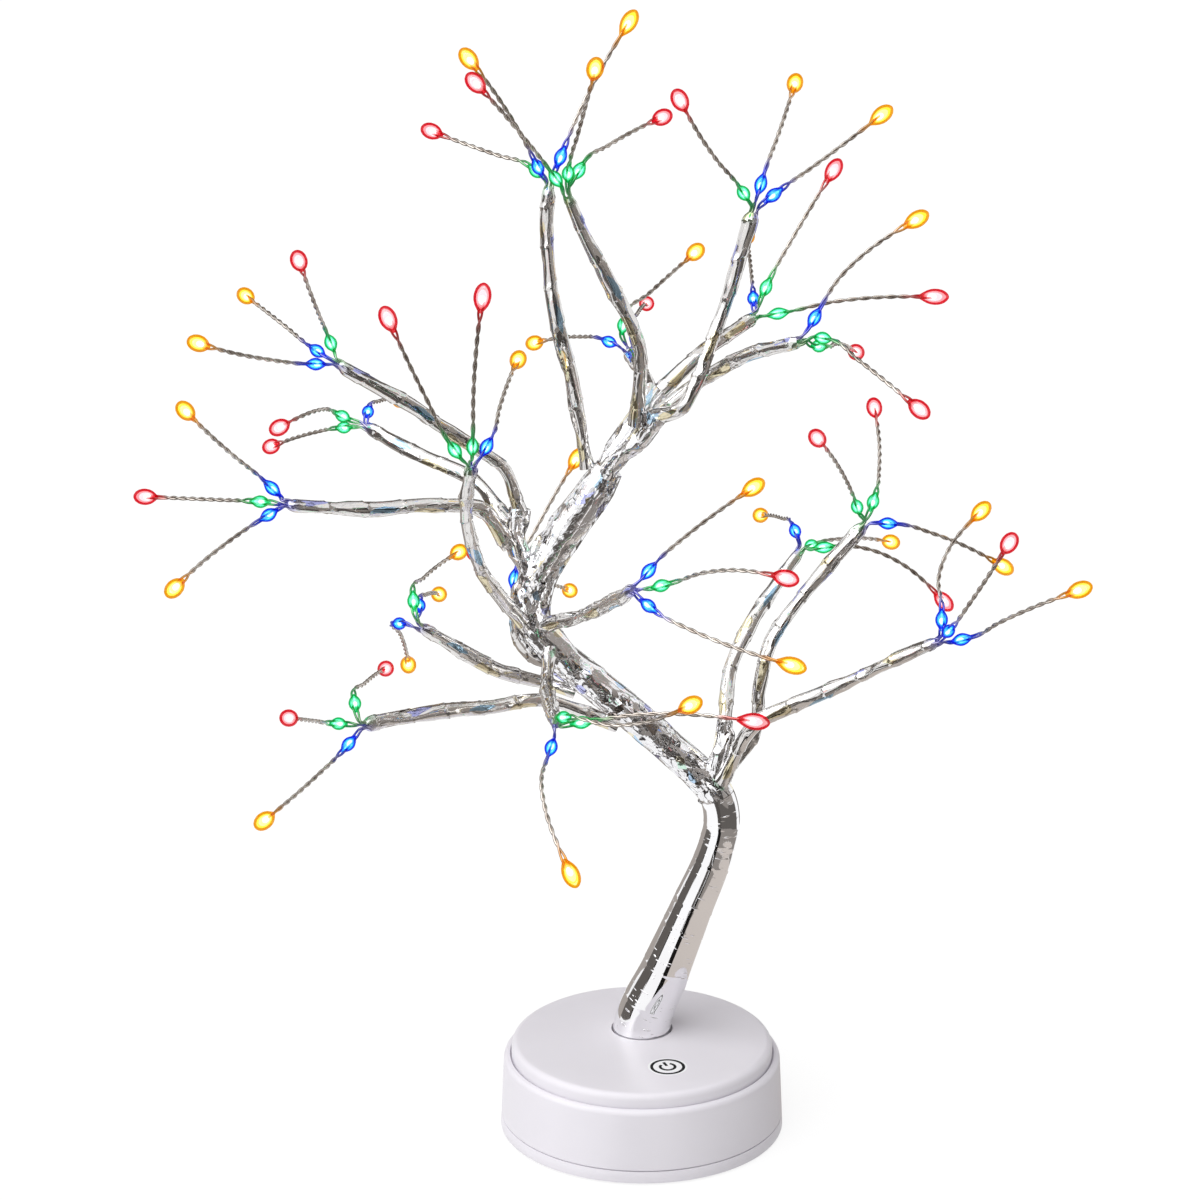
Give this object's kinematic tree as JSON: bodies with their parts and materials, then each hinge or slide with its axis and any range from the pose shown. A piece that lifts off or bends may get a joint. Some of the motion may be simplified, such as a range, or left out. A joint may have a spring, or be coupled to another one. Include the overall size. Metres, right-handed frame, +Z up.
{
  "type": "tree lamp",
  "caption": "Table lamp in the form of a small tree: round moulded base with a touch spot, film-wrapped wire trunk and bendable branches with coloured lights on wire twigs.",
  "frame": {"origin": "on the table, under the middle of the base", "axes": "+Z up along the base's axis, the front of the lamp with its touch spot towards -Y, +X to the lamp's right as seen from the front"},
  "size_m": [0.3873, 0.3275, 0.4746],
  "materials": {
    "housing_plastic": "satin moulded",
    "inner_plastic": "moulded",
    "foam": "closed-cell foam",
    "screw_steel": "zinc plated",
    "cell": "printed foil jacket, blank",
    "plated_spring": "nickel plated",
    "inlet_black": "moulded",
    "board": "solder mask",
    "board_parts": "moulded",
    "pad_foil": "copper foil",
    "lead_insulation": "insulated wire",
    "wire_bundle": "bundled enamelled wires",
    "film": "crinkled metallised film",
    "wrapped_wire": "crinkled metallised film, tinned wire",
    "light_resin": "clear resin over a lit chip"
  },
  "bodies": {
    "base_and_trunk": {"anti_slip_ring": "foam", "base_housing": "housing_plastic", "battery_cells": "cell", "battery_contacts": "plated_spring", "battery_springs": "plated_spring", "board_parts": "board_parts", "board_screws": "screw_steel", "bottom_plate": "housing_plastic", "circuit_board": "board", "housing_screws": "screw_steel", "lead_wires": "lead_insulation", "limb_crown_back": "film", "limb_crown_front": "film", "limb_left": "film", "limb_right": "film", "power_inlet": "inlet_black", "top_cover": "housing_plastic", "touch_pad": "pad_foil", "trunk_core": "wire_bundle", "trunk_film": "film", "trunk_socket": "inner_plastic"},
    "branch_a": {"branch_a_wires": "wrapped_wire", "branch_a_lights": "light_resin"},
    "branch_b": {"branch_b_wires": "wrapped_wire", "branch_b_lights": "light_resin"},
    "branch_c": {"branch_c_wires": "wrapped_wire", "branch_c_lights": "light_resin"},
    "branch_d": {"branch_d_wires": "wrapped_wire", "branch_d_lights": "light_resin"},
    "branch_e": {"branch_e_wires": "wrapped_wire", "branch_e_lights": "light_resin"},
    "branch_f": {"branch_f_wires": "wrapped_wire", "branch_f_lights": "light_resin"},
    "branch_g": {"branch_g_wires": "wrapped_wire", "branch_g_lights": "light_resin"},
    "branch_h": {"branch_h_wires": "wrapped_wire", "branch_h_lights": "light_resin"},
    "branch_i": {"branch_i_wires": "wrapped_wire", "branch_i_lights": "light_resin"},
    "branch_j": {"branch_j_wires": "wrapped_wire", "branch_j_lights": "light_resin"},
    "branch_k": {"branch_k_wires": "wrapped_wire", "branch_k_lights": "light_resin"},
    "branch_l": {"branch_l_wires": "wrapped_wire", "branch_l_lights": "light_resin"},
    "branch_m": {"branch_m_wires": "wrapped_wire", "branch_m_lights": "light_resin"},
    "branch_n": {"branch_n_wires": "wrapped_wire", "branch_n_lights": "light_resin"},
    "branch_o": {"branch_o_wires": "wrapped_wire", "branch_o_lights": "light_resin"},
    "branch_p": {"branch_p_wires": "wrapped_wire", "branch_p_lights": "light_resin"},
    "branch_q": {"branch_q_wires": "wrapped_wire", "branch_q_lights": "light_resin"},
    "branch_r": {"branch_r_wires": "wrapped_wire", "branch_r_lights": "light_resin"},
    "battery_door": {"battery_door": "housing_plastic"}
  },
  "joints": [
    {"name": "branch_a_bend", "type": "hinge", "parent": "base_and_trunk", "child": "branch_a", "pos_m": [-0.02366, 0.01355, 0.29087], "axis": [0.769, 0.6392, 0], "range_deg": [-20, 8]},
    {"name": "branch_b_bend", "type": "hinge", "parent": "base_and_trunk", "child": "branch_b", "pos_m": [-0.00327, 0.00272, 0.31288], "axis": [-0.4824, 0.8759, 0], "range_deg": [-20, 20]},
    {"name": "branch_c_bend", "type": "hinge", "parent": "base_and_trunk", "child": "branch_c", "pos_m": [-0.00701, 0.02288, 0.30195], "axis": [0.9999, -0.0148, 0], "range_deg": [-20, 10]},
    {"name": "branch_d_bend", "type": "hinge", "parent": "base_and_trunk", "child": "branch_d", "pos_m": [0.00648, 0.00067, 0.31404], "axis": [0.1179, -0.993, 0], "range_deg": [-6, 10]},
    {"name": "branch_e_bend", "type": "hinge", "parent": "base_and_trunk", "child": "branch_e", "pos_m": [0.00856, 0.01704, 0.32125], "axis": [0.6818, -0.7316, 0], "range_deg": [-20, 20]},
    {"name": "branch_f_bend", "type": "hinge", "parent": "base_and_trunk", "child": "branch_f", "pos_m": [0.00139, 0.01117, 0.30739], "axis": [-0.5081, -0.8613, 0], "range_deg": [-20, 6]},
    {"name": "branch_g_bend", "type": "hinge", "parent": "base_and_trunk", "child": "branch_g", "pos_m": [-0.04939, 0.00258, 0.22461], "axis": [-0.9718, 0.2358, 0], "range_deg": [-20, 14]},
    {"name": "branch_h_bend", "type": "hinge", "parent": "base_and_trunk", "child": "branch_h", "pos_m": [-0.05167, 0.01367, 0.27112], "axis": [-0.1206, 0.9927, 0], "range_deg": [-10, 16]},
    {"name": "branch_i_bend", "type": "hinge", "parent": "base_and_trunk", "child": "branch_i", "pos_m": [-0.05655, 0.01766, 0.26511], "axis": [0.5891, 0.8081, 0], "range_deg": [-20, 16]},
    {"name": "branch_j_bend", "type": "hinge", "parent": "base_and_trunk", "child": "branch_j", "pos_m": [-0.05676, 0.00864, 0.25849], "axis": [-0.325, 0.9457, 0], "range_deg": [-20, 12]},
    {"name": "branch_k_bend", "type": "hinge", "parent": "base_and_trunk", "child": "branch_k", "pos_m": [-0.03001, 0.01946, 0.1978], "axis": [0.944, 0.3298, 0], "range_deg": [-20, 20]},
    {"name": "branch_l_bend", "type": "hinge", "parent": "base_and_trunk", "child": "branch_l", "pos_m": [-0.03125, 0.0094, 0.19273], "axis": [-0.4596, 0.8881, 0], "range_deg": [-20, 10]},
    {"name": "branch_m_bend", "type": "hinge", "parent": "base_and_trunk", "child": "branch_m", "pos_m": [-0.01384, 0.00269, 0.18088], "axis": [-0.4443, 0.8959, 0], "range_deg": [-20, 8]},
    {"name": "branch_n_bend", "type": "hinge", "parent": "base_and_trunk", "child": "branch_n", "pos_m": [-0.03824, 0.00229, 0.21027], "axis": [-0.9986, -0.0521, 0], "range_deg": [-20, 15]},
    {"name": "branch_o_bend", "type": "hinge", "parent": "base_and_trunk", "child": "branch_o", "pos_m": [-0.03911, 0.00399, 0.22362], "axis": [-0.8735, -0.4869, 0], "range_deg": [-9, 20]},
    {"name": "branch_p_bend", "type": "hinge", "parent": "base_and_trunk", "child": "branch_p", "pos_m": [0.03418, 0.00663, 0.18154], "axis": [0.8589, -0.5121, 0], "range_deg": [-12, 20]},
    {"name": "branch_q_bend", "type": "hinge", "parent": "base_and_trunk", "child": "branch_q", "pos_m": [0.03815, 0.00456, 0.16483], "axis": [0.1606, -0.987, 0], "range_deg": [-20, 10]},
    {"name": "branch_r_bend", "type": "hinge", "parent": "base_and_trunk", "child": "branch_r", "pos_m": [0.03456, -0.00098, 0.15888], "axis": [-0.3385, -0.941, 0], "range_deg": [-20, 6]},
    {"name": "battery_door_swing", "type": "hinge", "parent": "base_and_trunk", "child": "battery_door", "pos_m": [0, -0.0328, 0.001], "axis": [-1, 0, 0], "range_deg": [0, 85]}
  ]
}
